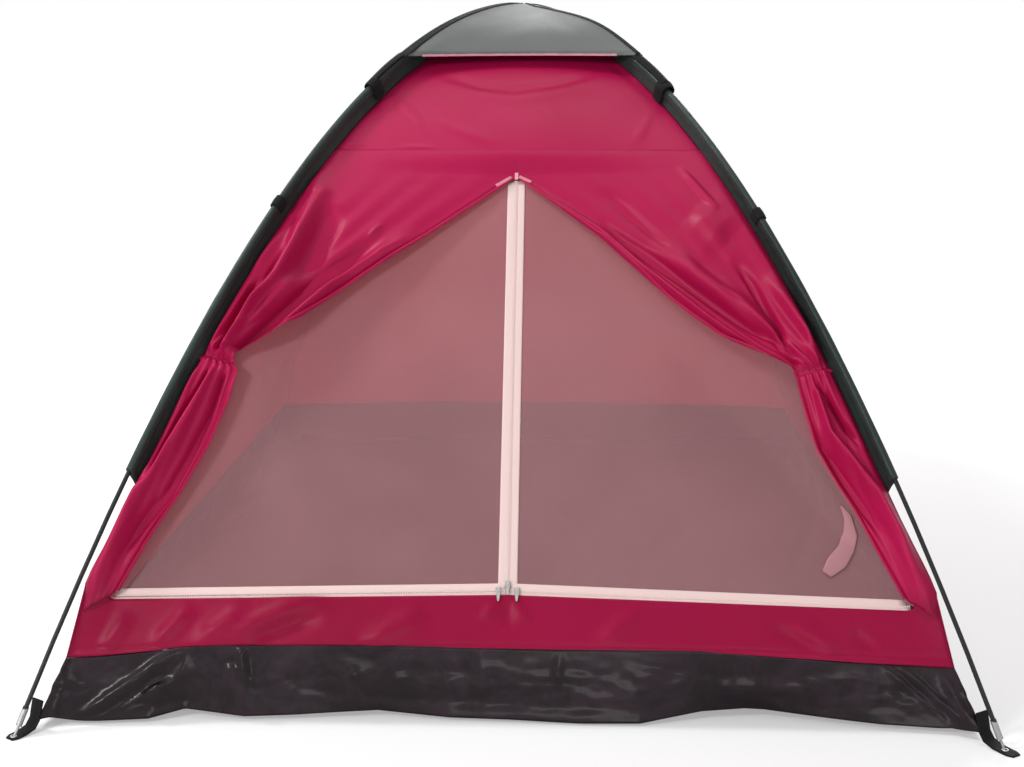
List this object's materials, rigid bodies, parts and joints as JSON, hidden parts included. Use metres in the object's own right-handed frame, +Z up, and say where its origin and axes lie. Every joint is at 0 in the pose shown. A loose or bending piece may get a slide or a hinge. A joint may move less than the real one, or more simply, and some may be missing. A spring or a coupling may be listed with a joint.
{
  "type": "dome tent",
  "caption": "Single-skin dome tent on two crossing sleeved poles, with a mesh front, storm doors tied back, a rain cap over a roof vent and a tub floor.",
  "frame": {"origin": "on the ground under the crossing of the poles, at the centre of the floor", "axes": "+Z up, the door looks along -Y, and +X is to the right as seen from the front"},
  "size_m": [1.4936, 2.1182, 1.1],
  "materials": {
    "wall_cloth": "crimson polyester, slightly glossy",
    "cap_cloth": "grey polyester, matte",
    "sleeve_cloth": "charcoal polyester, matte",
    "webbing": "black woven webbing",
    "groundsheet": "dark coated sheet, glossy",
    "insect_mesh": "fine see-through insect mesh",
    "zip_tape": "pale pink woven tape and coil",
    "zip_metal": "plated zinc",
    "glass_fibre": "dark glass-fibre tube",
    "shock_cord": "elastic cord"
  },
  "bodies": {
    "tent": {"pole_a_segment_1": "glass_fibre", "pole_a_segment_2": "glass_fibre", "pole_a_segment_3": "glass_fibre", "pole_a_segment_4": "glass_fibre", "pole_a_segment_5": "glass_fibre", "pole_a_segment_6": "glass_fibre", "pole_a_segment_7": "glass_fibre", "pole_a_shock_cord": "shock_cord", "pole_b_segment_1": "glass_fibre", "pole_b_segment_2": "glass_fibre", "pole_b_segment_3": "glass_fibre", "pole_b_segment_4": "glass_fibre", "pole_b_segment_5": "glass_fibre", "pole_b_segment_6": "glass_fibre", "pole_b_segment_7": "glass_fibre", "pole_b_shock_cord": "shock_cord", "sleeve_front_left": "sleeve_cloth", "sleeve_front_right": "sleeve_cloth", "sleeve_rear_left": "sleeve_cloth", "sleeve_rear_right": "sleeve_cloth", "guy_band_front_left": "webbing", "guy_band_front_right": "webbing", "guy_band_rear_left": "webbing", "guy_band_rear_right": "webbing", "corner_tab_front_left": "webbing", "corner_tab_front_right": "webbing", "corner_tab_rear_left": "webbing", "corner_tab_rear_right": "webbing", "rear_wall": "wall_cloth", "left_wall": "wall_cloth", "right_wall": "wall_cloth", "front_top_panel": "wall_cloth", "front_lower_panel": "wall_cloth", "groundsheet_tub": "groundsheet", "roof_vent_mesh": "insect_mesh", "mesh_surround": "insect_mesh", "lower_zip_tape": "zip_tape", "storm_door_left": "wall_cloth", "storm_door_right": "wall_cloth", "tie_back_left": "wall_cloth", "tie_back_right": "wall_cloth", "storm_zip_slider": "zip_metal"},
    "rain_cap": {"rain_cap": "cap_cloth", "cap_tie_front_left": "webbing", "cap_tie_front_right": "webbing", "cap_tie_rear_left": "webbing", "cap_tie_rear_right": "webbing"},
    "mesh_door_left": {"mesh_door_left": "insect_mesh", "door_zip_tape_left": "zip_tape"},
    "mesh_door_right": {"mesh_door_right": "insect_mesh", "door_zip_tape_right": "zip_tape"},
    "slider_up": {"door_slider_up": "zip_metal"},
    "slider_left": {"door_slider_left": "zip_metal"},
    "slider_right": {"door_slider_right": "zip_metal"},
    "pull_up": {"door_slider_up_pull": "zip_metal"},
    "pull_left": {"door_slider_left_pull": "zip_metal"},
    "pull_right": {"door_slider_right_pull": "zip_metal"}
  },
  "joints": [
    {"name": "cap_lift", "type": "slide", "parent": "tent", "child": "rain_cap", "axis": [0, 0, 1], "range_m": [0, 0.3]},
    {"name": "mesh_door_left_fold", "type": "hinge", "parent": "tent", "child": "mesh_door_left", "pos_m": [-0.6, -0.90385, 0.17453], "axis": [0.6239, 0.4565, 0.6343], "range_deg": [0, 110]},
    {"name": "mesh_door_right_fold", "type": "hinge", "parent": "tent", "child": "mesh_door_right", "pos_m": [0.6, -0.90385, 0.17453], "axis": [0.6239, -0.4565, -0.6343], "range_deg": [0, 110]},
    {"name": "slider_up_travel", "type": "slide", "parent": "tent", "child": "slider_up", "axis": [0, 0.5842, 0.8116], "range_m": [0, 0.68]},
    {"name": "slider_left_travel", "type": "slide", "parent": "tent", "child": "slider_left", "axis": [-0.9996, -0.0156, -0.0217], "range_m": [0, 0.54]},
    {"name": "slider_right_travel", "type": "slide", "parent": "tent", "child": "slider_right", "axis": [0.9996, -0.0156, -0.0217], "range_m": [0, 0.54]},
    {"name": "pull_up_swing", "type": "hinge", "parent": "slider_up", "child": "pull_up", "pos_m": [0, -0.89391, 0.19913], "axis": [-1, 0, 0], "range_deg": [0, 110]},
    {"name": "pull_left_swing", "type": "hinge", "parent": "slider_left", "child": "pull_left", "pos_m": [-0.014, -0.89982, 0.19091], "axis": [-1, 0, 0], "range_deg": [0, 110]},
    {"name": "pull_right_swing", "type": "hinge", "parent": "slider_right", "child": "pull_right", "pos_m": [0.014, -0.89982, 0.19091], "axis": [-1, 0, 0], "range_deg": [0, 110]}
  ]
}
